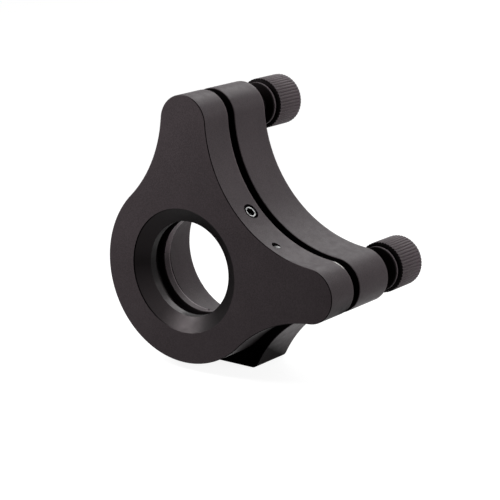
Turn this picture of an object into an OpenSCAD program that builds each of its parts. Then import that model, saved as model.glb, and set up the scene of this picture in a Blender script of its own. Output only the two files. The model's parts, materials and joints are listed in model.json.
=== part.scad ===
// Kinematic mirror mount for a round mirror, with the pivot at the mirror's own centre.
// The front plate carries the mirror. It swings on a thin spherical bearing ring that sits
// round the optic axis, so the two fine screws tilt the mirror and never shift its centre.
// Millimetres, +Z up. The origin is the mouth of the post hole, in the middle of the foot.
// The optic axis lies along Y, and depths run along +Y from the front plate's face.

/* [Plates] */

// Radius of the ring round the mirror
ring_r = 22; // [21:0.25:23]
// Distance from the optic axis to each adjuster
adjuster_offset = 34.65; // [34:0.05:36]
// Radius of the round tip of each arm
arm_tip_r = 6.35; // [6:0.05:7]
// Radius of the hollow curves outside the arms
outer_hollow_r = 30; // [28:0.5:34]
// Radius of the hollow curve between the arms
inner_hollow_r = 31.3; // [30:0.1:31.5]
// Thickness of the front plate
front_plate_t = 8.9; // [8.4:0.1:10]
// Gap between the plates when they are parallel
plate_gap = 2.45; // [2.4:0.05:3]
// Thickness of the back plate
back_plate_t = 11.85; // [11:0.05:13]
// Bevel on the outer edges of the plates
edge_bevel = 0.15; // [0.1:0.05:0.3]

/* [Foot] */

// Height of the optic axis above the foot
axis_height = 24; // [23.75:0.25:26]
// Half the width of the foot, out to its corners before rounding
foot_half_w = 12.6; // [11.5:0.1:13]
// Radius of the foot's corners
foot_corner_r = 1.8; // [1:0.1:2.5]
// Radius of the tapped post hole's thread crests
post_hole_r = 1.65; // [1.25:0.05:1.65]
// Depth of the post hole's thread
post_hole_l = 7; // [5:0.25:7]
// Width of the bevel at the post hole's mouth
post_hole_bevel = 0.35; // [0.2:0.05:0.5]

/* [Mirror bore] */

// Diameter of the mirror that the mount holds
mirror_d = 25.4; // [25:0.1:25.4]
// Space round the mirror in its pocket
mirror_clearance = 0.05; // [0.03:0.01:0.1]
// Depth of the mirror's pocket, from the lip to the retaining ring's thread
pocket_l = 3.2; // [3:0.1:3.6]
// Radius of the opening inside the lip
aperture_r = 11.3; // [11:0.1:11.6]
// Thickness of the lip that the mirror rests on
lip_t = 1.9; // [1.7:0.1:2.2]
// Radius of the wide end of the cone in front of the lip
cone_r = 14.7; // [13.5:0.1:15.5]
// Depth of the cone in front of the lip
cone_l = 2.3; // [2:0.1:2.5]
// How far the retaining ring's thread lies outside the wall of the mirror's pocket
ring_thread_step = 0.4; // [0.35:0.05:0.55]

/* [Pivot] */

// Radius of the sphere on the front plate's hub
hub_sphere_r = 17.4; // [17.2:0.1:17.6]
// Length of the hub behind the front plate
hub_l = 4.2; // [3.9:0.1:4.5]
// Length of the flare at the back of the hub's bore
hub_flare_l = 1.1; // [0.8:0.1:1.3]
// How much the flare widens the bore on each side
hub_flare = 0.9; // [0.6:0.05:0.95]
// Thickness of the bearing ring between the two spheres
bearing_t = 0.9; // [0.8:0.1:1]
// Length of the bearing ring along the optic axis
bearing_l = 2.6; // [2.4:0.1:2.8]
// Distance from the front plate to the bearing ring's front edge
bearing_setback = 2.2; // [2:0.1:2.4]
// Oil gap on each side of the bearing ring
bearing_clearance = 0.05; // [0.03:0.01:0.08]
// Depth of the spherical seat in the back plate
seat_sphere_l = 3.05; // [2.8:0.05:3.3]
// Radius of the opening at the back of the back plate
rear_opening_r = 16; // [15.5:0.1:16.5]

/* [Adjusters] */

// Radius of the adjuster screw over its thread
screw_r = 3; // [2.8:0.05:3.1]
// Space between the screw and its bushing
thread_clearance = 0.05; // [0.03:0.01:0.08]
// Thickness of the bushing's wall
bushing_wall = 0.95; // [0.8:0.05:1.1]
// Length of the bushing behind the back plate
bushing_stand_out = 1.5; // [1:0.1:1.8]
// Distance from the ball's centre to the end of the screw's nose
nose_setback = 0.8; // [0.7:0.05:1]
// Radius of the end of the screw's nose
nose_r = 2.35; // [2.3:0.05:2.5]
// Length of the cone on the screw's nose
nose_l = 1.2; // [1:0.1:1.6]
// Diameter of the contact ball
ball_d = 4; // [3.8:0.1:4.1]
// Space between the ball and the screw's cup
ball_cup_clearance = 0.02; // [0.01:0.01:0.04]
// Space between the ball and the seats
ball_seat_gap = 0.05; // [0.04:0.01:0.06]
// Radius of the pocket that each screw's nose swings in
nose_pocket_r = 3.9; // [3.7:0.05:4]
// Radius of the hardened seats
seat_r = 2.6; // [2.5:0.05:2.8]
// Thickness of the metal in front of the seats
seat_floor = 0.9; // [0.8:0.05:1]
// Height of the V seat
vee_seat_t = 2.1; // [2.05:0.05:2.3]
// Included angle of the V seat's groove
vee_angle = 90; // [88:1:92]

/* [Knobs] */

// Distance from the back plate to the knob's collar
knob_setback = 5.05; // [4.25:0.05:6.5]
// Radius of the knob over its knurl
knob_r = 6; // [5.8:0.1:6.4]
// Length of the knob's smooth collar
collar_l = 1; // [0.8:0.05:1.4]
// Radius of the knob's collar
collar_r = 5.2; // [5.1:0.05:5.3]
// Bevel on the collar's front edge
collar_bevel = 0.25; // [0.15:0.05:0.3]
// Length of the groove between the collar and the knurl
neck_l = 0.45; // [0.15:0.05:0.6]
// Radius of the groove between the collar and the knurl
neck_r = 4.9; // [4.7:0.05:5]
// Length of the knurled part of the knob
knurl_l = 9.3; // [8:0.1:11]
// Radius of the knob's face in front of the knurl
knurl_face_r = 5.35; // [5.2:0.05:5.5]
// Length of the cone between that face and the knurl
knurl_cone_l = 0.5; // [0.2:0.05:0.6]
// Radius of the rounded rim at the back of the knob
knob_rim_r = 0.7; // [0.5:0.05:0.9]
// Number of grooves in the knurl
knurl_count = 48; // [40:1:54]
// Depth of the knurl's grooves
knurl_depth = 0.24; // [0.15:0.01:0.26]
// Depth of the recess in the back of the knob
knob_recess = 0.8; // [0.6:0.1:1]
// Radius of the recess in the back of the knob
knob_recess_r = 3.6; // [3.4:0.1:4]
// Size of the hex socket in the screw, across its flats
socket_af = 2; // [1.5:0.1:2.5]
// Depth of that hex socket
socket_l = 3; // [2.5:0.25:4]

/* [Return springs] */

// Distance from the optic axis to each spring
spring_offset = 24.1; // [23.8:0.1:24.5]
// Radius of the holes that the springs lie in
spring_hole_r = 2.7; // [2.65:0.05:2.8]
// Thickness of the metal in front of the springs
spring_floor = 1.2; // [1:0.1:1.3]
// Outside diameter of the springs
spring_d = 4.4; // [4.3:0.05:4.4]
// Diameter of the spring wire
wire_d = 0.6; // [0.55:0.05:0.6]
// Number of coils in each spring
spring_coils = 14; // [12:1:16]
// Straight length between the last coil and the spring's end loop
loop_leg = 0.8; // [0.75:0.05:0.9]
// Diameter of the pins that hold the springs
pin_d = 2; // [1.9:0.05:2]
// Depth of the front pins below the front plate's face
front_pin_depth = 2.9; // [2.7:0.1:3]
// Length of the front pins
front_pin_l = 14.25; // [13.5:0.25:14.25]
// How far the front pins reach past the spring's axis, away from the mouth of their hole
front_pin_reach = 5.5; // [5:0.25:6]
// Length of the rear pins
rear_pin_l = 8.6; // [8:0.1:9]
// Space round each rear pin in its slot
rear_pin_clearance = 0.02; // [0.01:0.01:0.05]
// Space at each end of each rear pin
rear_slot_end_gap = 0.2; // [0.1:0.05:0.3]
// Depth of the slots for the rear pins
rear_slot_l = 2.6; // [2.4:0.1:2.8]

/* [Retaining ring and set screw] */

// Space round the retaining ring in its thread
retainer_clearance = 0.05; // [0.03:0.01:0.08]
// Space between the pocket and the retaining ring
retainer_gap = 0.05; // [0.03:0.01:0.1]
// Inside radius of the retaining ring
retainer_bore_r = 11.35; // [11:0.05:11.6]
// Length of the retaining ring
retainer_l = 2.35; // [2:0.05:2.6]
// Width of the spanner slots in the retaining ring
spanner_slot_w = 1.6; // [1.2:0.1:2]
// Depth of those slots
spanner_slot_l = 1; // [0.8:0.1:1.2]
// Angle of those slots about the optic axis
spanner_slot_angle = 85; // [0:5:175]
// Depth of the set screw below the front plate's face
set_screw_depth = 5.3; // [5.1:0.1:5.6]
// Radius of the set screw over its thread
set_screw_r = 1.45; // [1.2:0.05:1.45]
// Length of the set screw without its tip
set_screw_l = 8; // [7.5:0.05:8]
// Radius of the nylon tip
tip_r = 1; // [0.8:0.05:1]
// How far the nylon tip stands out of the set screw
tip_stand_out = 0.75; // [0.6:0.05:0.8]
// Depth of the hole that holds the nylon tip in the set screw
tip_plug_l = 1.2; // [1:0.1:1.5]
// How far the tip stays behind the wall of the pocket
tip_setback = 0.2; // [0.15:0.05:0.3]
// Size of the set screw's hex socket, across its flats
set_socket_af = 1.5; // [1.3:0.1:1.5]
// Depth of the set screw's hex socket
set_socket_l = 1.6; // [1.4:0.1:2]
// Bevel at the mouth of the set screw's hole
set_mouth_bevel = 0.35; // [0.2:0.05:0.45]

/* [Hidden] */

$fn = 120;

// past both faces of what a cut goes through
over = 1;
// farther than any point of the plates
reach = 80;

right_tip = [adjuster_offset, 0];
top_tip = [0, adjuster_offset];

// depths along the optic axis
pivot_depth = cone_l + lip_t;
ring_depth = pivot_depth + pocket_l;
back_plate_depth = front_plate_t + plate_gap;
rear_depth = back_plate_depth + back_plate_t;
hub_end = front_plate_t + hub_l;
knob_depth = rear_depth + knob_setback;
knurl_start = knob_depth + collar_l + neck_l;
knob_end = knurl_start + knurl_l;
screw_end = knob_end - knob_recess;

// the foot is centred on the origin
front_y = -back_plate_depth - back_plate_t / 2;

pocket_r = mirror_d / 2 + mirror_clearance;
ring_thread_r = pocket_r + ring_thread_step;
seat_sphere_r = hub_sphere_r + bearing_t + 2 * bearing_clearance;
seat_end = back_plate_depth + seat_sphere_l;
seat_end_r = sqrt(pow(seat_sphere_r, 2) - pow(seat_end - pivot_depth, 2));
bearing_start = front_plate_t + bearing_setback;

ball_r = ball_d / 2;
flat_seat_depth = pivot_depth - ball_r - ball_seat_gap;
vee_depth = pivot_depth - (ball_r + ball_seat_gap) / sin(vee_angle / 2);
bushing_r = screw_r + thread_clearance + bushing_wall;

pin_r = pin_d / 2;
wire_r = wire_d / 2;
// each half turn of wire stops this many degrees short, inside the ball that closes the joint
wire_joint = 1.5;
wire_joint_r = 1.02 * wire_r;
coil_r = (spring_d - wire_d) / 2;
rear_pin_depth = rear_depth - rear_slot_l + pin_r;
// from a pin's axis to the end of the coils
loop_l = loop_leg + coil_r - wire_r - pin_r;

retainer_start = ring_depth + retainer_gap;
tip_start = pocket_r + tip_setback;
set_screw_start = tip_start + tip_stand_out;
set_screw_end = set_screw_start + set_screw_l;

// The point at distance ra from a and rb from b, on the right of the way from a to b
function meet(a, ra, b, rb) =
    let (
        way = b - a,
        span = norm(way),
        u = way / span,
        along = (ra * ra - rb * rb + span * span) / (2 * span),
        off = sqrt(ra * ra - along * along)
    )
    a + along * u + off * [u[1], -u[0]];

// arcs that meet cross by this much, so that they join in a definite line
arc_overlap = 0.003;
ring_to_hollow = ring_r + outer_hollow_r - arc_overlap;
tip_to_hollow = arm_tip_r + outer_hollow_r - arc_overlap;
tip_to_middle = arm_tip_r + inner_hollow_r - arc_overlap;

// centres of the hollow curves, seen from the front as X and Z from the optic axis
under_arm = meet([0, 0], ring_to_hollow, right_tip, tip_to_hollow);
beside_arm = [under_arm[1], under_arm[0]];
between_arms = meet(right_tip, tip_to_middle, top_tip, tip_to_middle);
right_flank = meet([foot_half_w, -axis_height], outer_hollow_r, right_tip, tip_to_hollow);
left_flank = meet([0, 0], ring_to_hollow, [-foot_half_w, -axis_height], outer_hollow_r);

// centre of the rounding between a flank of the foot and its flat bottom
function corner_centre(flank, side) =
    let (
        z = foot_corner_r - axis_height,
        away = outer_hollow_r + foot_corner_r - arc_overlap
    )
    [flank[0] - side * sqrt(away * away - pow(z - flank[1], 2)), z];

right_round = corner_centre(right_flank, 1);
left_round = corner_centre(left_flank, -1);

// where the hollow between the arms crosses the diagonal
hollow_floor = norm(between_arms) - inner_hollow_r;

// Which node to draw

anodised = [0.07, 0.07, 0.075];
steel = [0.66, 0.67, 0.69];
brass = [0.72, 0.56, 0.27];
bronze = [0.58, 0.39, 0.2];
nylon = [0.92, 0.9, 0.84];

// ---- placing ----

// children stand on their own Z, which becomes the depth behind (x, z)
module along_depth(at = [0, 0], depth = 0) {
    translate([at[0], front_y + depth, axis_height + at[1]])
        rotate([-90, 0, 0])
            children();
}

// children drawn as X and Z on their own XY plane, with their back at this depth
module on_plate(rear) {
    translate([0, front_y + rear, axis_height])
        rotate([90, 0, 0])
            children();
}

// children stand on their own Z, which points from the optic axis to between the arms
module along_diagonal(depth) {
    translate([0, front_y + depth, axis_height])
        rotate([0, 45, 0])
            children();
}

// children lie along their own Z, which points up through the right arm
module across_right_arm(depth) {
    translate([spring_offset, front_y + depth, axis_height])
        children();
}

// children lie along their own Z, which points left through the top arm
module across_top_arm(depth) {
    translate([0, front_y + depth, axis_height + spring_offset])
        rotate([0, -90, 0])
            children();
}

// ---- plate blanks, bevelled all round ----
// The outline is made of arcs that run into each other. The round ends are whole bevelled
// discs. The web between them is cut back by the hollow curves, whose cutters flare at both
// faces, so that the bevels follow the outline without a step.

module bevelled_disc(centre, r, t) {
    translate(centre)
        rotate_extrude()
            polygon([
                [0, 0], [r - edge_bevel, 0], [r, edge_bevel],
                [r, t - edge_bevel], [r - edge_bevel, t], [0, t]
            ]);
}

// what a hollow curve takes away, with its bevels
module hollow(centre, r, t) {
    translate(centre)
        rotate_extrude()
            polygon([
                [0, -over], [r + edge_bevel + over, -over], [r, edge_bevel],
                [r, t - edge_bevel], [r + edge_bevel + over, t + over], [0, t + over]
            ]);
}

module arm_tips(t) {
    for (tip = [right_tip, top_tip])
        bevelled_disc(tip, arm_tip_r, t);
}

module front_blank(t) {
    arm_tips(t);
    difference() {
        union() {
            bevelled_disc([0, 0], ring_r, t);
            difference() {
                linear_extrude(t)
                    polygon([
                        [0, 0], under_arm, right_tip, between_arms, top_tip, beside_arm
                    ]);
                hollow(beside_arm, outer_hollow_r, t);
                hollow(under_arm, outer_hollow_r, t);
            }
        }
        hollow(between_arms, inner_hollow_r, t);
    }
}

module back_blank(t) {
    arm_tips(t);
    for (corner = [right_round, left_round])
        bevelled_disc(corner, foot_corner_r, t);
    difference() {
        union() {
            bevelled_disc([0, 0], ring_r, t);
            difference() {
                linear_extrude(t)
                    polygon([
                        [left_round[0], -axis_height], [right_round[0], -axis_height],
                        right_round, right_flank, right_tip, between_arms, top_tip,
                        beside_arm, [0, 0], left_flank, left_round
                    ]);
                hollow(beside_arm, outer_hollow_r, t);
                hollow(right_flank, outer_hollow_r, t);
                hollow(left_flank, outer_hollow_r, t);
                for (face = [0, t])
                    bottom_bevel(face);
            }
        }
        hollow(between_arms, inner_hollow_r, t);
    }
}

// the bevel along one edge of the foot's flat bottom
module bottom_bevel(face) {
    side = edge_bevel * sqrt(2);
    translate([left_round[0], -axis_height, face])
        rotate([45, 0, 0])
            translate([0, -side / 2, -side / 2])
                cube([right_round[0] - left_round[0], side, side]);
}

// a slice of a sphere round the pivot, between two depths
module sphere_zone(r, from, to) {
    intersection() {
        along_depth([0, 0], pivot_depth)
            sphere(r);
        along_depth([0, 0], from)
            cylinder(r = r + over, h = to - from);
    }
}

// ---- front plate and what is fixed in it ----

module front_plate() {
    color(anodised)
        difference() {
            union() {
                on_plate(front_plate_t)
                    front_blank(front_plate_t);
                sphere_zone(hub_sphere_r, front_plate_t - over, hub_end);
            }
            mirror_bore();
            for (at = [right_tip, top_tip]) {
                along_depth(at, seat_floor)
                    cylinder(r = seat_r, h = front_plate_t);
                along_depth(at, flat_seat_depth)
                    cylinder(r = nose_pocket_r, h = front_plate_t);
            }
            for (at = [[spring_offset, 0], [0, spring_offset]])
                along_depth(at, spring_floor)
                    cylinder(r = spring_hole_r, h = front_plate_t);
            across_right_arm(front_pin_depth)
                front_pin_hole();
            across_top_arm(front_pin_depth)
                front_pin_hole();
            along_diagonal(set_screw_depth)
                set_screw_hole();
        }
}

// cone, lip, pocket, retaining ring thread and the flare behind it
module mirror_bore() {
    cone_slope = (cone_r - aperture_r) / cone_l;
    flare_slope = hub_flare / hub_flare_l;
    along_depth([0, 0], -over)
        cylinder(r1 = cone_r + cone_slope * over, r2 = aperture_r, h = cone_l + over);
    along_depth()
        cylinder(r = aperture_r, h = hub_end);
    along_depth([0, 0], pivot_depth)
        cylinder(r = pocket_r, h = hub_end);
    along_depth([0, 0], ring_depth)
        cylinder(r = ring_thread_r, h = hub_end);
    along_depth([0, 0], hub_end - hub_flare_l)
        cylinder(
            r1 = ring_thread_r, r2 = ring_thread_r + hub_flare + flare_slope * over,
            h = hub_flare_l + over
        );
}

module front_pin_hole() {
    translate([0, 0, -front_pin_reach])
        cylinder(r = pin_r, h = reach);
}

module set_screw_hole() {
    hole_r = set_screw_r + thread_clearance;
    translate([0, 0, pocket_r - over])
        cylinder(r = hole_r, h = reach);
    translate([0, 0, hollow_floor - set_mouth_bevel])
        cylinder(r1 = hole_r, r2 = hole_r + set_mouth_bevel + over, h = set_mouth_bevel + over);
}

// flat seat of the top adjuster
module top_seat() {
    color(steel)
        along_depth(top_tip, seat_floor)
            cylinder(r = seat_r, h = flat_seat_depth - seat_floor);
}

// V seat of the right adjuster, with its groove along X
module right_seat() {
    groove_l = 2 * (seat_r + over);
    groove_h = seat_floor + vee_seat_t + over - vee_depth;
    half_w = groove_h * tan(vee_angle / 2);
    color(steel)
        difference() {
            along_depth(right_tip, seat_floor)
                cylinder(r = seat_r, h = vee_seat_t);
            along_depth(right_tip, vee_depth)
                rotate([0, 90, 0])
                    translate([0, 0, -groove_l / 2])
                        linear_extrude(groove_l)
                            polygon([[0, 0], [-groove_h, half_w], [-groove_h, -half_w]]);
        }
}

module front_pin() {
    color(steel)
        translate([0, 0, -front_pin_reach])
            cylinder(r = pin_r, h = front_pin_l);
}

module top_front_pin() {
    across_top_arm(front_pin_depth)
        front_pin();
}

module right_front_pin() {
    across_right_arm(front_pin_depth)
        front_pin();
}

// ---- back plate and what is fixed in it ----

module back_plate() {
    color(anodised)
        difference() {
            on_plate(rear_depth)
                back_blank(back_plate_t);
            sphere_zone(seat_sphere_r, back_plate_depth - over, seat_end);
            rear_cone();
            for (at = [right_tip, top_tip])
                along_depth(at, front_plate_t)
                    cylinder(r = bushing_r, h = reach);
            for (at = [[spring_offset, 0], [0, spring_offset]])
                along_depth(at, front_plate_t)
                    cylinder(r = spring_hole_r, h = reach);
            across_right_arm(rear_depth)
                rear_pin_slot();
            across_top_arm(rear_depth)
                rear_pin_slot();
            post_hole();
        }
}

// the bore opens towards the back behind the spherical seat
module rear_cone() {
    slope = (rear_opening_r - seat_end_r) / (rear_depth - seat_end);
    along_depth([0, 0], seat_end)
        cylinder(
            r1 = seat_end_r, r2 = rear_opening_r + slope * over, h = rear_depth - seat_end + over
        );
}

module rear_pin_slot() {
    w = pin_d + 2 * rear_pin_clearance;
    l = rear_pin_l + 2 * rear_slot_end_gap;
    translate([-w / 2, -rear_slot_l, -l / 2])
        cube([w, rear_slot_l + over, l]);
}

// tapped hole up into the foot, with a drill point at its end
module post_hole() {
    drill_point = post_hole_r / tan(59);
    translate([0, 0, -over])
        cylinder(r = post_hole_r, h = post_hole_l + over);
    translate([0, 0, post_hole_l])
        cylinder(r1 = post_hole_r, r2 = 0, h = drill_point);
    translate([0, 0, -over])
        cylinder(
            r1 = post_hole_r + post_hole_bevel + over, r2 = post_hole_r, h = post_hole_bevel + over
        );
}

module bushing() {
    length = back_plate_t + bushing_stand_out;
    color(brass)
        rotate_extrude()
            polygon([
                [screw_r + thread_clearance, 0], [bushing_r, 0], [bushing_r, length - edge_bevel],
                [bushing_r - edge_bevel, length], [screw_r + thread_clearance, length]
            ]);
}

module top_bushing() {
    along_depth(top_tip, back_plate_depth)
        bushing();
}

module right_bushing() {
    along_depth(right_tip, back_plate_depth)
        bushing();
}

module rear_pin() {
    color(steel)
        translate([0, 0, -rear_pin_l / 2])
            cylinder(r = pin_r, h = rear_pin_l);
}

module top_rear_pin() {
    across_top_arm(rear_pin_depth)
        rear_pin();
}

module right_rear_pin() {
    across_right_arm(rear_pin_depth)
        rear_pin();
}

// ---- return springs ----

// Open coils made of half turns. Each half turn is flat and tips the other way from the
// last one, so that it ends where the next one starts. A small ball closes each joint.
module coils(count, length) {
    rise = length / count / 2;
    half_r = norm([coil_r, rise / 2]);
    tip = atan2(rise / 2, coil_r);
    for (i = [0 : 2 * count - 1])
        translate([0, 0, rise * (i + 0.5)])
            rotate([0, 0, 180 * i])
                rotate([0, tip, 0]) {
                    rotate([0, 0, wire_joint])
                        rotate_extrude(angle = 180 - 2 * wire_joint, $fn = 48)
                            translate([half_r, 0])
                                circle(wire_r, $fn = 16);
                    translate([half_r, 0, 0])
                        sphere(wire_joint_r, $fn = 16);
                }
}

// the wire turns up beside the last coil and arches over the pin
module end_loop() {
    translate([coil_r, 0, 0]) {
        sphere(wire_r, $fn = 16);
        cylinder(r = wire_r, h = loop_leg, $fn = 16);
    }
    translate([0, 0, loop_leg])
        rotate([90, 0, 0])
            rotate_extrude(angle = 180, $fn = 48)
                translate([coil_r, 0])
                    circle(wire_r, $fn = 16);
}

module spring() {
    length = rear_pin_depth - front_pin_depth - 2 * loop_l;
    color(steel) {
        translate([0, 0, loop_l]) {
            coils(spring_coils, length);
            mirror([0, 0, 1])
                end_loop();
            translate([0, 0, length])
                end_loop();
        }
    }
}

module right_spring() {
    along_depth([spring_offset, 0], front_pin_depth)
        spring();
}

module top_spring() {
    along_depth([0, spring_offset], front_pin_depth)
        rotate([0, 0, 90])
            spring();
}

// ---- pivot ----

module bearing_ring() {
    inner = hub_sphere_r + bearing_clearance;
    color(bronze)
        difference() {
            sphere_zone(inner + bearing_t, bearing_start, bearing_start + bearing_l);
            along_depth([0, 0], pivot_depth)
                sphere(inner);
        }
}

// ---- adjusters ----

module ball() {
    color(steel)
        sphere(ball_r);
}

module top_ball() {
    along_depth(top_tip, pivot_depth)
        ball();
}

module right_ball() {
    along_depth(right_tip, pivot_depth)
        ball();
}

// drawn with the ball's centre at the origin
module screw() {
    length = screw_end - pivot_depth;
    color(steel)
        difference() {
            rotate_extrude()
                polygon([
                    [0, nose_setback], [nose_r, nose_setback], [screw_r, nose_setback + nose_l],
                    [screw_r, length - edge_bevel], [screw_r - edge_bevel, length], [0, length]
                ]);
            sphere(ball_r + ball_cup_clearance);
            translate([0, 0, length - socket_l])
                cylinder(d = socket_af / cos(30), h = socket_l + over, $fn = 6);
        }
}

module top_screw() {
    along_depth(top_tip, pivot_depth)
        screw();
}

module right_screw() {
    along_depth(right_tip, pivot_depth)
        screw();
}

// the knob's turned form, without its knurl
module knob_profile(length) {
    face = collar_l + neck_l;
    difference() {
        polygon([
            [screw_r, 0], [collar_r - collar_bevel, 0], [collar_r, collar_bevel],
            [collar_r, collar_l], [neck_r, collar_l], [neck_r, face], [knurl_face_r, face],
            [knob_r, face + knurl_cone_l], [knob_r, length], [knob_recess_r, length],
            [knob_recess_r, length - knob_recess], [screw_r, length - knob_recess]
        ]);
        translate([knob_r - knob_rim_r, length - knob_rim_r])
            difference() {
                square(knob_rim_r + over);
                circle(knob_rim_r);
            }
    }
}

module knob() {
    length = knob_end - knob_depth;
    half_w = knurl_depth + over / 2;
    color(anodised)
        difference() {
            rotate_extrude()
                knob_profile(length);
            translate([0, 0, collar_l + neck_l])
                linear_extrude(knurl_l + over)
                    for (i = [0 : knurl_count - 1])
                        rotate(360 * i / knurl_count)
                            polygon([
                                [knob_r - knurl_depth, 0],
                                [knob_r + over / 2, half_w], [knob_r + over / 2, -half_w]
                            ]);
        }
}

module top_knob() {
    along_depth(top_tip, knob_depth)
        knob();
}

module right_knob() {
    along_depth(right_tip, knob_depth)
        knob();
}

// ---- retaining ring and set screw ----

module retaining_ring() {
    outer = ring_thread_r - retainer_clearance;
    color(anodised)
        difference() {
            along_depth([0, 0], retainer_start)
                rotate_extrude()
                    polygon([
                        [retainer_bore_r, 0], [outer - edge_bevel, 0], [outer, edge_bevel],
                        [outer, retainer_l - edge_bevel], [outer - edge_bevel, retainer_l],
                        [retainer_bore_r, retainer_l]
                    ]);
            along_depth([0, 0], retainer_start + retainer_l - spanner_slot_l)
                rotate([0, 0, spanner_slot_angle])
                    translate([-reach / 2, -spanner_slot_w / 2, 0])
                        cube([reach, spanner_slot_w, spanner_slot_l + over]);
        }
}

module nylon_tip() {
    color(nylon)
        along_diagonal(set_screw_depth)
            translate([0, 0, tip_start])
                cylinder(r = tip_r, h = tip_stand_out + tip_plug_l);
}

module set_screw() {
    color(steel)
        along_diagonal(set_screw_depth)
            difference() {
                translate([0, 0, set_screw_start])
                    rotate_extrude()
                        polygon([
                            [0, 0], [set_screw_r, 0], [set_screw_r, set_screw_l - edge_bevel],
                            [set_screw_r - edge_bevel, set_screw_l], [0, set_screw_l]
                        ]);
                translate([0, 0, set_screw_start - over])
                    cylinder(
                        r = tip_r + thread_clearance, h = tip_plug_l + thread_clearance + over
                    );
                translate([0, 0, set_screw_end - set_socket_l])
                    cylinder(d = set_socket_af / cos(30), h = set_socket_l + over, $fn = 6);
            }
}

back_plate();
top_bushing();
right_bushing();
top_rear_pin();
right_rear_pin();
top_spring();
right_spring();
bearing_ring();
front_plate();
top_seat();
right_seat();
top_front_pin();
right_front_pin();
retaining_ring();
top_ball();
right_ball();
top_screw();
right_screw();
top_knob();
right_knob();
nylon_tip();
set_screw();
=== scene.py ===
"""Looks of the kinematic mirror mount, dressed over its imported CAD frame.

Metres, in the frame of the CAD: the origin is the mouth of the post hole, +Z is up and the
optic axis lies along Y, from the front plate to the back plate.
"""

import json
import math

import bmesh
import bpy
from mathutils import Matrix, Vector

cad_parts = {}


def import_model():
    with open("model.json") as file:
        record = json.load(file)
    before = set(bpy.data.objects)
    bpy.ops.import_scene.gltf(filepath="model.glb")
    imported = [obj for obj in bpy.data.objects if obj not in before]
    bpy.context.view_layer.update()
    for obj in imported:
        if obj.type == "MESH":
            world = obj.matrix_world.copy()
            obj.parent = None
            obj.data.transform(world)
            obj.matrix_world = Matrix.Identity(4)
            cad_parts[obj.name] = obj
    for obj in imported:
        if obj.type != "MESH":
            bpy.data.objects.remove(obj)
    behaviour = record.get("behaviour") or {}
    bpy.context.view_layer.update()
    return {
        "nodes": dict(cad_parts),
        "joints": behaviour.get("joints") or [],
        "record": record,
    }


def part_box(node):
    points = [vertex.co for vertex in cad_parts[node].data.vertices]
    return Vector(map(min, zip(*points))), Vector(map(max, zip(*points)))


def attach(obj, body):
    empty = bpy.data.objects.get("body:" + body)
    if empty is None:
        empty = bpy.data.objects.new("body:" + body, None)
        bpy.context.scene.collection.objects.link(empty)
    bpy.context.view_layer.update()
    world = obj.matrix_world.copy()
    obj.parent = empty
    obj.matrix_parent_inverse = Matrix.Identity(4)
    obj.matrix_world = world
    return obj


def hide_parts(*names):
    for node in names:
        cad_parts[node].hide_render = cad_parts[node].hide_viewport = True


MM = 0.001

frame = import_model()
joints = {joint["name"]: joint for joint in frame["joints"]}
SLOTS = {part["node"]: part["material_slot"] for part in frame["record"]["subparts"]}

# ---- places and sizes, from the frame ----

# the mirror's centre, about which the front plate tilts
PIVOT = Vector(joints["plate_pitch"]["pos_m"])
AXIS_HEIGHT = PIVOT.z
TOP_AXIS = Vector(joints["top_knob_spin"]["pos_m"])
RIGHT_AXIS = Vector(joints["right_knob_spin"]["pos_m"])
FRONT_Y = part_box("front_plate")[0].y
BACK_FRONT_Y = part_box("back_plate")[0].y
REAR_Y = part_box("back_plate")[1].y

# ---- sizes that the frame doesn't tell, as the solids have them ----

FRONT_REAR_Y = FRONT_Y + 8.9 * MM  # without the hub
CONE_R = 14.7 * MM
LIP_R = 11.3 * MM
RING_BORE_R = 11.35 * MM
RING_THREAD_R = 13.15 * MM
RING_PITCH = 0.635 * MM
SCREW_HOLE_R = 1.5 * MM
PIN_HOLE_R = 1.0 * MM
POST_HOLE_R = 1.65 * MM
POST_HOLE_DEPTH = 7 * MM
POST_PITCH = 0.7 * MM

OPTIC_AXIS = (0, 0, AXIS_HEIGHT)
BACKWARD = Vector((0, 1, 0))
LEAN = math.sqrt(0.5)
DIAGONAL = Vector((LEAN, 0, LEAN))


# ---- nodes ----


class Nodes:
    """Adds nodes to a tree, and sets or links their inputs."""

    def __init__(self, tree):
        self.tree = tree

    def join(self, value, socket):
        """Links a socket, or gives it a plain value."""
        if isinstance(value, bpy.types.NodeSocket):
            self.tree.links.new(value, socket)
        else:
            socket.default_value = value

    def add(self, kind, *values, operation=None, **named):
        """Adds a node. Its inputs are given in their own order or by name."""
        node = self.tree.nodes.new("ShaderNode" + kind)
        if operation:
            node.operation = operation
        for value, socket in zip(values, node.inputs):
            self.join(value, socket)
        for key, value in named.items():
            self.join(value, node.inputs[key.replace("_", " ")])
        return node

    def calc(self, operation, first, second=0.0):
        """One sum of two numbers or sockets."""
        return self.add("Math", first, second, operation=operation).outputs["Value"]

    def spread(self, value, low, high, start=0.3, end=0.7):
        """Maps start to low and end to high. Noise runs from about 0.3 to 0.7."""
        node = self.add(
            "MapRange", Value=value, From_Min=start, From_Max=end, To_Min=low, To_Max=high
        )
        return node.outputs["Result"]

    def soft_mask(self, value, off, on):
        """A mask that runs from 0 to 1 while the value runs from off to on."""
        return self.spread(value, 0.0, 1.0, start=off, end=on)

    def after(self, value, start):
        return self.calc("GREATER_THAN", value, start)

    def before(self, value, end):
        return self.calc("LESS_THAN", value, end)

    def all_of(self, *masks):
        """The product of masks or numbers."""
        result = masks[0]
        for mask in masks[1:]:
            result = self.calc("MULTIPLY", result, mask)
        return result

    def shown_plainly(self):
        """A mask of the rays that show a surface directly, mirrored or refracted."""
        path = self.add("LightPath").outputs
        seen = self.calc("MAXIMUM", path["Is Camera Ray"], path["Is Glossy Ray"])
        return self.calc("MAXIMUM", seen, path["Is Transmission Ray"])


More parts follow.
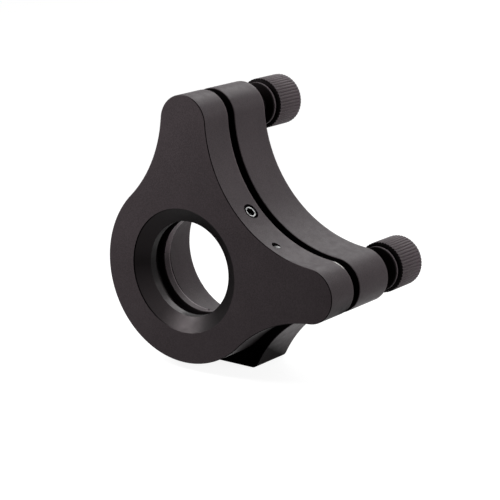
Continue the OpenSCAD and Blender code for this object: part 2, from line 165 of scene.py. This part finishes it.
class Paint(Nodes):
    """A node material on the surface's own coordinates."""

    def __init__(self, name, colour, roughness, metallic=0.0):
        self.material = bpy.data.materials.new(name)
        self.material.use_nodes = True
        super().__init__(self.material.node_tree)
        self.shader = self.tree.nodes["Principled BSDF"]
        self.set("Base Color", (*colour, 1.0))
        self.set("Roughness", roughness)
        self.set("Metallic", metallic)
        coordinates = self.add("TexCoord").outputs
        self.place = coordinates["Object"]
        self.facing = coordinates["Normal"]

    def set(self, key, value):
        self.join(value, self.shader.inputs[key])

    def now(self, key):
        """What one of the shader's inputs has so far."""
        socket = self.shader.inputs[key]
        return socket.links[0].from_socket if socket.links else socket.default_value

    def noise(self, size, detail=3.0, stretch=(1, 1, 1)):
        """Grey noise whose features are about this size in metres."""
        where = self.add("Mapping", Vector=self.place, Scale=stretch).outputs["Vector"]
        return self.add("TexNoise", Vector=where, Scale=1 / size, Detail=detail).outputs["Fac"]

    def two_tones(self, value, dark, light):
        """A colour that runs from dark to light over the range of noise."""
        ramp = self.add("ValToRGB", Fac=value)
        first, last = ramp.color_ramp.elements
        first.position, last.position = 0.3, 0.7
        first.color, last.color = (*dark, 1.0), (*light, 1.0)
        return ramp.outputs["Color"]

    def vector(self, operation, *values):
        """One sum of vectors, which gives a vector or, for some operations, a number."""
        node = self.add("VectorMath", *values, operation=operation)
        gives_number = operation in ("DOT_PRODUCT", "LENGTH", "DISTANCE")
        return node.outputs["Value" if gives_number else "Vector"]

    def axis(self, letter, vector=None):
        """One coordinate of a vector, or of the place on the surface."""
        if vector is None:
            vector = self.place
        return self.add("SeparateXYZ", Vector=vector).outputs[letter]

    def from_axis(self, centre, direction):
        """How far each point lies along an axis and away from it."""
        offset = self.vector("SUBTRACT", self.place, centre)
        along = self.vector("DOT_PRODUCT", offset, direction)
        across = self.vector("CROSS_PRODUCT", offset, direction)
        return along, self.vector("LENGTH", across)

    def towards(self, x, z, height):
        """How far each point lies towards (x, z) from an axis along Y, from -1 to 1."""
        offset = self.vector("SUBTRACT", self.place, (0, 0, height))
        flat = self.vector("MULTIPLY", offset, (1, 0, 1))
        return self.vector("DOT_PRODUCT", self.vector("NORMALIZE", flat), (x, 0, z))

    def scale(self, mask, tone, gloss=1.0):
        """Scales the colour and the gloss by these shares where the mask is 1."""
        level = self.spread(mask, 1.0, tone, start=0.0, end=1.0)
        scaled = self.add("VectorMath", self.now("Base Color"), operation="SCALE", Scale=level)
        self.set("Base Color", scaled.outputs["Vector"])
        if gloss != 1.0:
            level = self.spread(mask, 1.0, gloss, start=0.0, end=1.0)
            before = self.now("Specular IOR Level")
            self.set("Specular IOR Level", self.calc("MULTIPLY", level, before))

    def bump(self, height, depth):
        """Adds a relief to what the surface has. Where the height is 1, it rises by the depth."""
        node = self.add("Bump", Height=height, Distance=depth, Strength=1.0)
        if self.shader.inputs["Normal"].links:
            self.join(self.now("Normal"), node.inputs["Normal"])
        self.set("Normal", node.outputs["Normal"])


# ---- finishes ----

BLACK_DYE = (1.0, 0.8, 0.87)
BLACK_TONES = (0.049, 0.058)
BLACK_SHEEN = (1, 0.88, 0.91, 1)
# the light grey of a painted glint
GLINT_METAL = (0.62, 0.61, 0.58, 1)


def anodised(name, tone=1.0, gloss=0.1):
    """Bead-blasted and black anodised aluminium, whose dye leans a little to purple."""
    dark, light = (tuple(level * tone * c for c in BLACK_DYE) for level in BLACK_TONES)
    paint = Paint(name, dark, 0.45)
    paint.set("Specular IOR Level", gloss)
    paint.set("Specular Tint", BLACK_SHEEN)
    cloud, patch, dimple, grain = 9 * MM, 1.6 * MM, 0.16 * MM, 0.28 * MM
    paint.set("Base Color", paint.two_tones(paint.noise(cloud, detail=4), dark, light))
    paint.set("Roughness", paint.spread(paint.noise(patch), 0.4, 0.5))
    paint.bump(paint.noise(dimple, detail=2), 0.008 * MM)
    # blasting leaves a fine grain
    paint.scale(paint.soft_mask(paint.noise(grain, detail=1), 0.32, 0.68), tone=0.72)
    return paint


def metal(name, colour, roughness, grain, stretch=(1, 1, 1)):
    """Bare metal with fine marks, drawn out along one direction."""
    paint = Paint(name, colour, roughness, metallic=1.0)
    marks = paint.noise(grain, detail=4, stretch=stretch)
    dark = tuple(0.82 * c for c in colour)
    light = tuple(min(1.0, 1.12 * c) for c in colour)
    paint.set("Base Color", paint.two_tones(marks, dark, light))
    paint.set("Roughness", paint.spread(marks, 0.75 * roughness, 1.3 * roughness))
    paint.bump(marks, 0.004 * MM)
    return paint.material


def nylon():
    """Slightly cloudy white nylon."""
    cloud, pores = 0.5 * MM, 0.1 * MM
    dark, light = (0.8, 0.77, 0.68), (0.9, 0.87, 0.8)
    paint = Paint("nylon", (0.86, 0.83, 0.75), 0.5)
    paint.set("Base Color", paint.two_tones(paint.noise(cloud), dark, light))
    paint.bump(paint.noise(pores), 0.004 * MM)
    return paint.material


# ---- details, and painted light and shade, on the plates and the ring ----

SKIN = 0.02 * MM  # how far behind a flat face its own paint ends
ALL_ALONG = -1.0  # a start that lies before any hole


def thread_relief(paint, centre, letter, pitch, radius, start, end):
    """Adds the thread of a tapped hole, as relief on the plain wall of its bore.

    The hole's axis runs through the centre along the axis of this letter, from start to end.
    """
    reach = 0.12 * MM
    direction = [1.0 if axis == letter else 0.0 for axis in "XYZ"]
    along, away = paint.from_axis(centre, direction)
    offset = paint.vector("SUBTRACT", paint.place, centre)
    across = [paint.axis(axis, offset) for axis in "XYZ" if axis != letter]
    turns = paint.calc("DIVIDE", paint.calc("ARCTAN2", *across), 2 * math.pi)
    rise = paint.calc("DIVIDE", along, pitch)
    tooth = paint.calc("PINGPONG", paint.calc("ADD", rise, turns), 0.5)
    off_wall = paint.calc("ABSOLUTE", paint.calc("SUBTRACT", away, radius))
    on_wall = paint.before(off_wall, reach)
    here = paint.all_of(on_wall, paint.after(along, start), paint.before(along, end))
    paint.bump(paint.all_of(tooth, here), pitch)
    # painted shade: the threaded wall is darker than the rest
    paint.scale(here, tone=0.25, gloss=0.5)


def turned_cone(paint):
    """The cone round the bore is turned, not blasted, so it is darker and smoother."""
    feed, ring_height = 0.12 * MM, 0.0015 * MM
    along, away = paint.from_axis(OPTIC_AXIS, BACKWARD)
    behind_face = paint.after(along, FRONT_Y + 0.01 * MM)
    cone = paint.all_of(paint.before(away, CONE_R), behind_face)
    rings = paint.calc("SINE", paint.calc("MULTIPLY", away, 2 * math.pi / feed))
    paint.bump(paint.all_of(rings, cone), ring_height)
    smoother = paint.calc("MULTIPLY", cone, 0.1)
    paint.set("Roughness", paint.calc("SUBTRACT", paint.now("Roughness"), smoother))
    paint.scale(cone, tone=0.085, gloss=0.77)
    # painted highlights: it is lighter at the bottom and a bit less at the top, both somewhat to
    # the left
    for z, highlight_gain in ((-0.94, 2.8), (0.94, 2.2)):
        side = paint.soft_mask(paint.towards(-0.35, z, AXIS_HEIGHT), 0.4, 0.92)
        paint.scale(paint.all_of(cone, side), tone=highlight_gain, gloss=highlight_gain)


def hole_shade(paint, centre, direction, radius, start, share=0.1):
    """Painted shade: the walls of a narrow hole are darker than the outside."""
    along, away = paint.from_axis(centre, direction)
    wall = paint.before(away, radius + 0.03 * MM)
    dark = paint.all_of(wall, paint.after(along, start))
    paint.scale(dark, tone=share, gloss=2 * share)


def shaded_bevel(paint):
    """Painted shade: the front face's bevel is darker where it looks to the mount's right."""
    start, end = FRONT_Y + 0.005 * MM, FRONT_Y + 0.16 * MM
    depth = paint.axis("Y")
    right = paint.soft_mask(paint.axis("X", paint.facing), 0.05, 0.4)
    band = paint.all_of(paint.after(depth, start), paint.before(depth, end), right)
    paint.scale(band, tone=0.06, gloss=0.05)


def edge_wear_and_highlight(paint, start, end, share):
    """A plate's edge is painted a little lighter, as light wear and as a painted highlight, more
    in some places than in others.
    """
    depth = paint.axis("Y")
    patches = paint.spread(paint.noise(7 * MM), 0.2, 1.0, start=0.4, end=0.62)
    band = paint.all_of(paint.after(depth, start), paint.before(depth, end), patches)
    paint.scale(band, tone=share)


def painted_glint(paint):
    """A painted glint: a short stretch of the right tip's rear edge is painted a bright metal
    grey.
    """
    centre, radius = (37.1 * MM, FRONT_REAR_Y, 29.9 * MM), 1.9 * MM
    apart = paint.vector("DISTANCE", paint.place, centre)
    near = paint.soft_mask(apart, radius, 0.5 * radius)
    here = paint.all_of(near, paint.after(paint.axis("Y"), FRONT_REAR_Y - 0.5 * MM))
    black = paint.now("Base Color")
    glinted = paint.add("MixRGB", Fac=here, Color1=black, Color2=GLINT_METAL)
    paint.set("Base Color", glinted.outputs["Color"])


def shaded_underside(paint):
    """Painted shade: faces that look down to the bench are darker."""
    down = paint.soft_mask(paint.axis("Z", paint.facing), -0.1, -0.65)
    depth = paint.spread(paint.axis("Y"), 0.6, 1.0, start=FRONT_Y, end=FRONT_REAR_Y)
    paint.scale(paint.all_of(down, depth), tone=0.06, gloss=0.0)


def shaded_foot(paint):
    """Painted shade: the foot darkens softly towards the bench, and most towards the gap."""
    height = 11.5 * MM
    behind = paint.calc("SUBTRACT", paint.axis("Y"), BACK_FRONT_Y)
    rise = paint.calc("ADD", paint.axis("Z"), paint.calc("MULTIPLY", behind, 0.5))
    paint.scale(paint.soft_mask(rise, height, 0.5 * height), tone=0.14, gloss=0.05)


def gap_shade(paint, mask):
    """Painted shade: the faces that the two plates turn to each other are darker than the
    outside.
    """
    paint.scale(mask, tone=0.04, gloss=0.15)


def screw_mouth(paint):
    """Adds a narrow countersink round the set screw's hole, as relief, with painted shade on its
    slope.
    """
    low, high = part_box("set_screw")
    centre = (0, (low.y + high.y) / 2, AXIS_HEIGHT)
    mouth_r, start, steepness = 1.95 * MM, 20 * MM, 0.5
    along, away = paint.from_axis(centre, DIAGONAL)
    slope = paint.all_of(paint.before(away, mouth_r), paint.after(along, start))
    height = paint.calc("SUBTRACT", away, SCREW_HOLE_R)
    paint.bump(paint.all_of(slope, height), steepness)
    paint.scale(slope, tone=0.1, gloss=0.1)


def pin_hole_shades(paint):
    """Painted shade in the mouths of the spring pins' cross holes, one to the left and one on
    top.
    """
    for side, mouth in (("top", Vector((-1, 0, 0))), ("right", Vector((0, 0, 1)))):
        low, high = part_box(side + "_front_pin")
        pin_end = abs((high - low).dot(mouth)) / 2
        hole_shade(paint, (low + high) / 2, mouth, PIN_HOLE_R, pin_end)


def front_plate_paint():
    """The front plate's black, with its turned cone, threaded pocket, painted shade, and painted
    highlights and wear on its edges.
    """
    paint = anodised("front_plate")
    turned_cone(paint)
    ring_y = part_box("retaining_ring")[0].y
    thread_relief(paint, OPTIC_AXIS, "Y", RING_PITCH, RING_THREAD_R, ring_y, REAR_Y)
    hole_shade(paint, PIVOT, BACKWARD, LIP_R, ALL_ALONG, share=0.5)
    gap_shade(paint, paint.after(paint.axis("Y"), FRONT_REAR_Y - SKIN))
    shaded_underside(paint)
    shaded_bevel(paint)
    edge_wear_and_highlight(paint, FRONT_REAR_Y - 0.45 * MM, FRONT_REAR_Y - SKIN, share=1.7)
    painted_glint(paint)
    screw_mouth(paint)
    pin_hole_shades(paint)
    return paint.material


def back_plate_paint():
    """The back plate's black, with painted shade on its foot and gap side, a painted highlight
    and wear on its rear edge, and the thread of the post hole.
    """
    paint = anodised("back_plate")
    gap_shade(paint, paint.before(paint.axis("Y"), BACK_FRONT_Y + SKIN))
    edge_wear_and_highlight(paint, REAR_Y - 0.5 * MM, REAR_Y, share=1.8)
    shaded_foot(paint)
    start, end = 0.3 * MM, POST_HOLE_DEPTH
    thread_relief(paint, (0, 0, 0), "Z", POST_PITCH, POST_HOLE_R, start, end)
    return paint.material


def ring_paint(name, highlight_gain, **finish):
    """The retaining ring's metal, with a painted highlight at its upper left. Its axis is at 0.
    """
    paint = anodised(name, **finish)
    upper_left = paint.soft_mask(paint.towards(-0.6, 0.8, 0.0), 0.55, 0.95)
    paint.scale(upper_left, tone=highlight_gain)
    return paint.material


ANODISED = anodised("anodised").material
KNOB = anodised("knob", tone=1.7).material
# painted shade: a darker copy of the knob's black, for its front towards the back plate
KNOB_SHADE = anodised("knob_shade", tone=0.1, gloss=0.02).material
# black oxide, made darker still as painted shade, for the screws and the ring's front
OXIDE_IN_SHADE = anodised("oxide_in_shade", tone=0.2, gloss=0.05).material
RING = ring_paint("ring", highlight_gain=7, tone=1.7)
# painted highlight: a lighter copy of the ring's metal, for its rear edge
RING_HIGHLIGHT = ring_paint("ring_highlight", highlight_gain=3, tone=3.5, gloss=0.3)
BLACK_STEEL = metal("black_steel", (0.2, 0.2, 0.2), 0.3, 0.3 * MM)
STEEL = metal("steel", (0.55, 0.55, 0.56), 0.3, 0.5 * MM, stretch=(4, 1, 4))
PIN_STEEL = metal("pin_steel", (0.13, 0.13, 0.13), 0.45, 0.3 * MM)
HARD_STEEL = metal("hard_steel", (0.62, 0.62, 0.64), 0.16, 0.4 * MM)
BRASS = metal("brass", (0.66, 0.47, 0.2), 0.3, 0.5 * MM)
BRONZE = metal("bronze", (0.5, 0.32, 0.15), 0.34, 0.5 * MM)

LOOKS = {
    "anodised_black": ANODISED,
    "anodised_knob": KNOB,
    "steel": STEEL,
    "spring_steel": STEEL,
    "hardened_steel": HARD_STEEL,
    "brass": BRASS,
    "bronze": BRONZE,
    "nylon": nylon(),
}
OWN_LOOKS = {
    "front_plate": front_plate_paint(),
    "back_plate": back_plate_paint(),
    "top_front_pin": PIN_STEEL,
    "top_rear_pin": PIN_STEEL,
    "right_rear_pin": PIN_STEEL,
}


def dress(node, material):
    """Gives a CAD node this material and no other."""
    slots = frame["nodes"][node].data.materials
    slots.clear()
    slots.append(material)


for node, slot in SLOTS.items():
    dress(node, OWN_LOOKS.get(node, LOOKS[slot]))


# ---- turned and threaded pieces ----
# A station is (depth along the piece, radius at each of its angles, material slot of the faces
# that follow it). Depths run along +Y, and angles run from +X towards +Z.

ROUND_STEPS = 48
SAME_PLACE = 1e-7  # vertices nearer than this become one
SHARP_ANGLE = math.radians(35)


def corner(bm, radius, depth, angle):
    return bm.verts.new((radius * math.cos(angle), depth, radius * math.sin(angle)))


def circles(points, steps=ROUND_STEPS, slot=0):
    """Round stations from the points (depth, radius) of a turned profile."""
    return [(depth, [radius] * steps, slot) for depth, radius in points]


def hexagons(depths, across_flats, slot):
    """Hexagonal stations at these depths."""
    sixth = math.pi / 3
    turns = [2 * math.pi * i / ROUND_STEPS for i in range(ROUND_STEPS)]
    radii = [across_flats / 2 / math.cos(turn % sixth - sixth / 2) for turn in turns]
    return [(depth, radii, slot) for depth in depths]


def arc(centre, radius, first, last, count):
    """Points (depth, radius) on an arc of a turned profile, with angles from the depth axis."""
    depth, distance = centre
    turns = [math.radians(first + (last - first) * i / count) for i in range(count + 1)]
    return [
        (depth + radius * math.cos(turn), distance + radius * math.sin(turn))
        for turn in turns
    ]


def join_rings(bm, first, second, slots):
    """Joins two closed lines of vertices by faces with these material slots."""
    for i, slot in enumerate(slots):
        j = (i + 1) % len(first)
        face = bm.faces.new((first[i], second[i], second[j], first[j]))
        face.material_index = slot


def loft(bm, stations):
    """Joins stations into one skin."""
    rings = []
    for depth, radii, slot in stations:
        turn = 2 * math.pi / len(radii)
        rings.append([corner(bm, r, depth, turn * i) for i, r in enumerate(radii)])
    for (depth, radii, slot), first, second in zip(stations, rings, rings[1:]):
        join_rings(bm, first, second, [slot] * len(radii))


def thread_root(radius, pitch):
    """Radius at the bottom of an outside thread whose crests have this radius."""
    return radius - 0.6 * pitch


def thread(bm, radius, pitch, start, end):
    """The skin of an outside thread whose crests have this radius."""
    root, steps = thread_root(radius, pitch), ROUND_STEPS
    total = int(steps * (end - start) / pitch)
    crests, roots = [], []
    # one turn more at either end lies flat on the end's plane, at the root
    for i in range(-steps, total + steps + 1):
        angle = 2 * math.pi * i / steps
        for line, r, lag in ((crests, radius, 0.25), (roots, root, 0.75)):
            depth = start + pitch * (i / steps + lag)
            if not start < depth < end:
                r = root
            line.append(corner(bm, r, min(max(depth, start), end), angle))
    for i in range(len(crests) - 1):
        bm.faces.new((crests[i], crests[i + 1], roots[i + 1], roots[i]))
    for i in range(len(crests) - 1 - steps):
        k = i + steps
        bm.faces.new((roots[i], roots[i + 1], crests[k + 1], crests[k]))


def hex_socket(end, across_flats, depth, mouth_break, point, walls=0):
    """Stations of a hex socket, from its round mouth to its point (length, radius)."""
    bottom = end - depth
    point_length, point_r = point
    return (
        circles([(end, across_flats / math.sqrt(3) + mouth_break)])
        + hexagons([end - mouth_break, bottom], across_flats, walls)
        + circles([(bottom - point_length, point_r)])
    )


def piece(name, bm, place, materials, body, nodes):
    """Finishes a mesh as a piece that rides on a body and stands for these nodes."""
    bmesh.ops.remove_doubles(bm, verts=bm.verts, dist=SAME_PLACE)
    bmesh.ops.recalc_face_normals(bm, faces=bm.faces)
    mesh = bpy.data.meshes.new(name)
    bm.to_mesh(mesh)
    bm.free()
    for material in materials:
        mesh.materials.append(material)
    mesh.shade_smooth()
    mesh.set_sharp_from_angle(angle=SHARP_ANGLE)
    made = bpy.data.objects.new(name, mesh)
    made.location = place
    bpy.context.scene.collection.objects.link(made)
    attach(made, body)
    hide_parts(*nodes)


# ---- knobs ----

RIDGES = 48
RIDGE_STEPS = 12
GROOVE_DEPTH = 0.24 * MM
GROOVE_SHARPNESS = 1.6


def ridged(radius, depth):
    """Radii round a knob: broad rounded ridges with a narrow groove between them."""
    return [
        radius - depth * (1 - abs(math.sin(math.pi * i / RIDGE_STEPS))) ** GROOVE_SHARPNESS
        for i in range(RIDGES * RIDGE_STEPS)
    ]


def knob(side, axis):
    """Collar, groove, ridged grip with a rounded rim, and the recess at the back."""
    node = side + "_knob"
    low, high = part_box(node)
    length = high.y - low.y
    grip_r = (high.x - low.x) / 2
    bore_r, recess_r, recess, recess_break = 3.0 * MM, 3.6 * MM, 0.8 * MM, 0.15 * MM
    collar_r, collar, collar_break = 5.2 * MM, 1.0 * MM, 0.25 * MM
    groove_r, groove = 4.9 * MM, 0.45 * MM
    face_r, face, cone = 5.35 * MM, collar + groove, 0.5 * MM
    rim = 0.7 * MM
    cone_bands, rim_bands, grooved_bands = 4, 10, 7
    steps = RIDGES * RIDGE_STEPS
    light, dark = 0, 1

    # painted shade: the front, which faces the back plate, is darker than the rest, except for
    # the collar's rear half
    nose = [(0, bore_r), (0, collar_r - collar_break)]
    nose += arc((collar_break, collar_r - collar_break), collar_break, 180, 90, 4)[1:]
    stations = circles(nose, steps, dark)
    stations += circles([(collar / 2, collar_r)], steps, light)
    shoulder = [(collar, collar_r), (collar, groove_r), (face, groove_r), (face, face_r)]
    stations += circles(shoulder, steps, dark)
    for i in range(cone_bands + 1):
        share = i / cone_bands
        r = face_r + (grip_r - face_r) * math.sin(share * math.pi / 2)
        slot = dark if i < cone_bands else light
        stations.append((face + cone * share, ridged(r, GROOVE_DEPTH * share), slot))

    # the grooves run out on the rounded rim
    rounded = arc((length - rim, grip_r - rim), rim, 90, 0, rim_bands)
    for i, (depth, r) in enumerate(rounded):
        share = max(0.0, 1 - i / grooved_bands)
        stations.append((depth, ridged(r, GROOVE_DEPTH * share), light))
    back = [
        (length, recess_r + recess_break),
        (length - recess_break, recess_r),
        (length - recess, recess_r),
        (length - recess, bore_r),
    ]
    stations += circles(back, steps, light)
    bm = bmesh.new()
    loft(bm, stations)
    place = (axis.x, low.y, axis.z)
    piece(node + "_grip", bm, place, [KNOB, KNOB_SHADE], side + "_adjuster", [node])


# ---- screws ----


def adjuster_screw(side, axis):
    """Fine-threaded screw with a coned nose round the ball and a hex socket."""
    node = side + "_screw"
    low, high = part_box(node)
    length = high.y - low.y
    crest_r, pitch, end_break = 3.0 * MM, 0.25 * MM, 0.3 * MM
    root_r = thread_root(crest_r, pitch)
    nose_r, nose_cone = 2.35 * MM, 1.2 * MM
    cup_r, cup, cup_floor_r = 1.84 * MM, 0.9 * MM, 0.2 * MM
    across, socket, mouth_break = 2.0 * MM, 3.0 * MM, 0.15 * MM
    point = (0.4 * MM, 0.05 * MM)
    bm = bmesh.new()
    loft(bm, circles([(cup, cup_floor_r), (0, cup_r), (0, nose_r), (nose_cone, root_r)]))
    thread(bm, crest_r, pitch, nose_cone, length - end_break)
    rear = circles([(length - end_break, root_r), (length, root_r - end_break)])
    loft(bm, rear + hex_socket(length, across, socket, mouth_break, point))
    place = (axis.x, low.y, axis.z)
    piece(node + "_thread", bm, place, [OXIDE_IN_SHADE], side + "_adjuster", [node])


def set_screw():
    """Grub screw with a hex socket, on the diagonal between the arms."""
    low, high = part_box("set_screw")
    crest_r, pitch, end_break = 1.45 * MM, 0.5 * MM, 0.1 * MM
    root_r = thread_root(crest_r, pitch)
    tip_r, tip_hole = 1.05 * MM, 1.25 * MM
    across, socket, mouth_break = 2.0 * MM, 1.6 * MM, 0.04 * MM
    point = (0.3 * MM, 0)
    # painted shade: the plain end of the shank and the socket's walls take the darker finish
    bright, oxide_shade = 0, 1
    # along the diagonal, from the optic axis
    near = low.x / LEAN + crest_r
    far = high.x / LEAN - crest_r + end_break
    thread_end = far - 2 * end_break
    bm = bmesh.new()
    tip = [(near + tip_hole, 0), (near + tip_hole, tip_r), (near, tip_r), (near, root_r)]
    loft(bm, circles(tip))
    thread(bm, crest_r, pitch, near, thread_end)
    rim = [(thread_end, root_r), (thread_end, crest_r), (far - end_break, crest_r)]
    stations = circles(rim, slot=oxide_shade) + circles([(far, crest_r - end_break)], slot=bright)
    loft(bm, stations + hex_socket(far, across, socket, mouth_break, point, walls=oxide_shade))
    # the mesh's own +Y turns to the diagonal, away from the optic axis
    bm.transform(Matrix(((LEAN, LEAN, 0), (0, 0, -1), (-LEAN, LEAN, 0))).to_4x4())
    place = (0, (low.y + high.y) / 2, AXIS_HEIGHT)
    finish = [BLACK_STEEL, OXIDE_IN_SHADE]
    piece("set_screw_thread", bm, place, finish, "clamp_screw", ["set_screw"])


# ---- retaining ring ----

# the spanner slots' line, from +X towards -Z
SPANNER_ANGLE = math.radians(85)


def retaining_ring():
    """Thin ring, threaded outside, with two spanner slots across its back."""
    low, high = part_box("retaining_ring")
    length, crest_r = high.y - low.y, (high.x - low.x) / 2
    root_r = crest_r - 0.36 * MM
    thread_break, chamfer = 0.12 * MM, 0.15 * MM
    highlight_band = 0.5 * MM
    crest_cut = 1.3  # more than 1 leaves the crests flat
    slot_half, slot_depth = 0.8 * MM, 1.0 * MM
    rows, steps = 44, 60
    plain, front_shade, bright = 0, 1, 2

    def outline(back):
        """Points (depth, radius, is it thread) round a section."""
        points = [
            (chamfer, RING_BORE_R, False),
            (back - highlight_band, RING_BORE_R, False),
            (back - chamfer, RING_BORE_R, False),
            (back, RING_BORE_R + chamfer, False),
            (back, root_r, False),
        ]
        for i in range(rows + 1):
            depth = back - thread_break - (back - 2 * thread_break) * i / rows
            points.append((depth, crest_r, True))
        points += [(0, root_r, False), (0, RING_BORE_R + chamfer, False)]
        return points

    def section(angle, back, slot_side=0):
        """Vertices of one section. On a slot's wall they lie in the wall's flat plane."""
        line = []
        for depth, r, threaded in outline(back):
            turn = angle + slot_side * math.asin(slot_half / r)
            if threaded:
                phase = (depth / RING_PITCH - turn / (2 * math.pi)) % 1
                rise = min(1, crest_cut * (1 - abs(2 * phase - 1)))
                r = root_r + (crest_r - root_r) * rise
            line.append(corner(bm, r, depth, turn))
        return line

    bm = bmesh.new()
    shallow = length - slot_depth
    reach = math.asin(slot_half / RING_BORE_R)
    sections = []
    for centre in (-SPANNER_ANGLE, math.pi - SPANNER_ANGLE):
        sections += [
            section(centre, length, -1),
            section(centre, shallow, -1),
            section(centre, shallow),
            section(centre, shallow, 1),
            section(centre, length, 1),
        ]
        for i in range(1, steps):
            angle = centre + reach + (math.pi - 2 * reach) * i / steps
            sections.append(section(angle, length))
    # of the faces after each point: the rear edge gets a painted highlight, the front painted
    # shade
    slots = [plain, bright, bright, plain, plain] + [plain] * rows + [front_shade] * 3
    for first, second in zip(sections, sections[1:] + sections[:1]):
        join_rings(bm, first, second, slots)
    place = (0, low.y, AXIS_HEIGHT)
    finish = [RING, OXIDE_IN_SHADE, RING_HIGHLIGHT]
    piece("retaining_ring_thread", bm, place, finish, "retainer", ["retaining_ring"])


# ---- spring pin ----


def front_pin():
    """The right spring's front pin, whose domed end shows in the mouth of its hole."""
    low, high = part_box("right_front_pin")
    radius = (high.x - low.x) / 2
    length = high.z - low.z + 0.45 * MM
    dome, dome_r, bands = 0.3 * MM, radius * 0.97, 6
    end_break = 0.12 * MM
    profile = [(0, 0), (0, radius - end_break), (end_break, radius)]
    for i in range(bands, -1, -1):
        share = i / bands
        profile.append((length - dome * share * share, dome_r * share))
    bm = bmesh.new()
    loft(bm, circles(profile))
    # the mesh's own +Y turns to +Z
    bm.transform(Matrix.Rotation(math.pi / 2, 4, "X"))
    place = ((low.x + high.x) / 2, (low.y + high.y) / 2, low.z)
    piece("front_pin_dome", bm, place, [PIN_STEEL], "front", ["right_front_pin"])


front_pin()
for side, axis in (("top", TOP_AXIS), ("right", RIGHT_AXIS)):
    knob(side, axis)
    adjuster_screw(side, axis)
set_screw()
retaining_ring()


# ---- floor, light and camera ----


def white_floor():
    """Pale floor that shows white to the camera and keeps the soft shadow."""
    paint = Paint("floor", (0.15, 0.15, 0.15), 0.9)
    glow = paint.add("Emission", Color=(1, 1, 1, 1), Strength=0.9)
    pale = paint.add("BsdfDiffuse", Color=(0.3, 0.3, 0.3, 1))
    shown = paint.add("AddShader", glow.outputs[0], pale.outputs[0])
    lit, seen = paint.shader.outputs[0], paint.shown_plainly()
    mix = paint.add("MixShader", seen, lit, shown.outputs[0])
    output = paint.tree.nodes["Material Output"]
    paint.join(mix.outputs[0], output.inputs["Surface"])
    return paint.material


def floor():
    half = 1.5
    mesh = bpy.data.meshes.new("floor")
    mesh.from_pydata(
        [(-half, -half, 0), (half, -half, 0), (half, half, 0), (-half, half, 0)],
        [],
        [(0, 1, 2, 3)],
    )
    mesh.materials.append(white_floor())
    plane = bpy.data.objects.new("floor", mesh)
    bpy.context.scene.collection.objects.link(plane)


def softbox(name, place, side, power):
    """A square lamp that points at the mirror's centre."""
    light = bpy.data.lights.new(name, "AREA")
    light.shape = "RECTANGLE"
    light.size = light.size_y = side
    light.energy = power
    lamp = bpy.data.objects.new(name, light)
    lamp.location = place
    lamp.rotation_euler = (PIVOT - lamp.location).to_track_quat("-Z", "Y").to_euler()
    bpy.context.scene.collection.objects.link(lamp)


def world(fill):
    """White behind everything and in reflections, and a soft fill light that is its own."""
    surroundings = bpy.data.worlds.new("studio")
    bpy.context.scene.world = surroundings
    surroundings.use_nodes = True
    nodes = Nodes(surroundings.node_tree)
    background = nodes.tree.nodes["Background"]
    nodes.join((1, 1, 1, 1), background.inputs["Color"])
    level = nodes.spread(nodes.shown_plainly(), fill, 1.0, start=0.0, end=1.0)
    nodes.join(level, background.inputs["Strength"])


# The camera's own directions, and where the middle of the front face lies in its view.
VIEW_AZIMUTH = math.radians(35.87)
VIEW_ELEVATION = math.radians(14.89)
VIEW_ROLL = math.radians(0.27)
VIEW_DISTANCE = 436.4 * MM
VIEW_LEFT = 15.41 * MM
VIEW_DOWN = 4.88 * MM
LENS = 136.8
SENSOR = 36.0


def camera():
    """Stands where the photograph was taken from."""
    flat_right = Vector((math.cos(VIEW_AZIMUTH), math.sin(VIEW_AZIMUTH), 0))
    flat_ahead = Vector((-math.sin(VIEW_AZIMUTH), math.cos(VIEW_AZIMUTH), 0))
    down = Vector((0, 0, -1))
    ahead = flat_ahead * math.cos(VIEW_ELEVATION) + down * math.sin(VIEW_ELEVATION)
    level_up = flat_right.cross(ahead)
    right = flat_right * math.cos(VIEW_ROLL) + level_up * math.sin(VIEW_ROLL)
    up = level_up * math.cos(VIEW_ROLL) - flat_right * math.sin(VIEW_ROLL)
    face_middle = Vector((0, FRONT_Y, AXIS_HEIGHT))
    data = bpy.data.cameras.new("camera")
    data.lens, data.sensor_width = LENS, SENSOR
    data.clip_start, data.clip_end = 0.01, 10
    body = bpy.data.objects.new("camera", data)
    turn = Matrix((right, up, -ahead)).transposed().to_4x4()
    place = face_middle + right * VIEW_LEFT + up * VIEW_DOWN - ahead * VIEW_DISTANCE
    body.matrix_world = Matrix.Translation(place) @ turn
    bpy.context.scene.collection.objects.link(body)
    bpy.context.scene.camera = body


floor()
world(fill=0.02)
# the close lamps make the light fall off across the face, as in the photograph
softbox("key", place=(-0.08, -0.075, 0.11), side=0.08, power=0.19)
softbox("top", place=(0, 0.1, 0.18), side=0.1, power=0.033)
softbox("rim", place=(0.12, 0.1, 0.14), side=0.1, power=0.083)
softbox("back", place=(-0.12, 0.67, 0.56), side=0.5, power=2.5)
softbox("right", place=(0.84, 0.28, 0.17), side=0.5, power=3.6)
camera()
bpy.context.scene.view_settings.view_transform = "Standard"
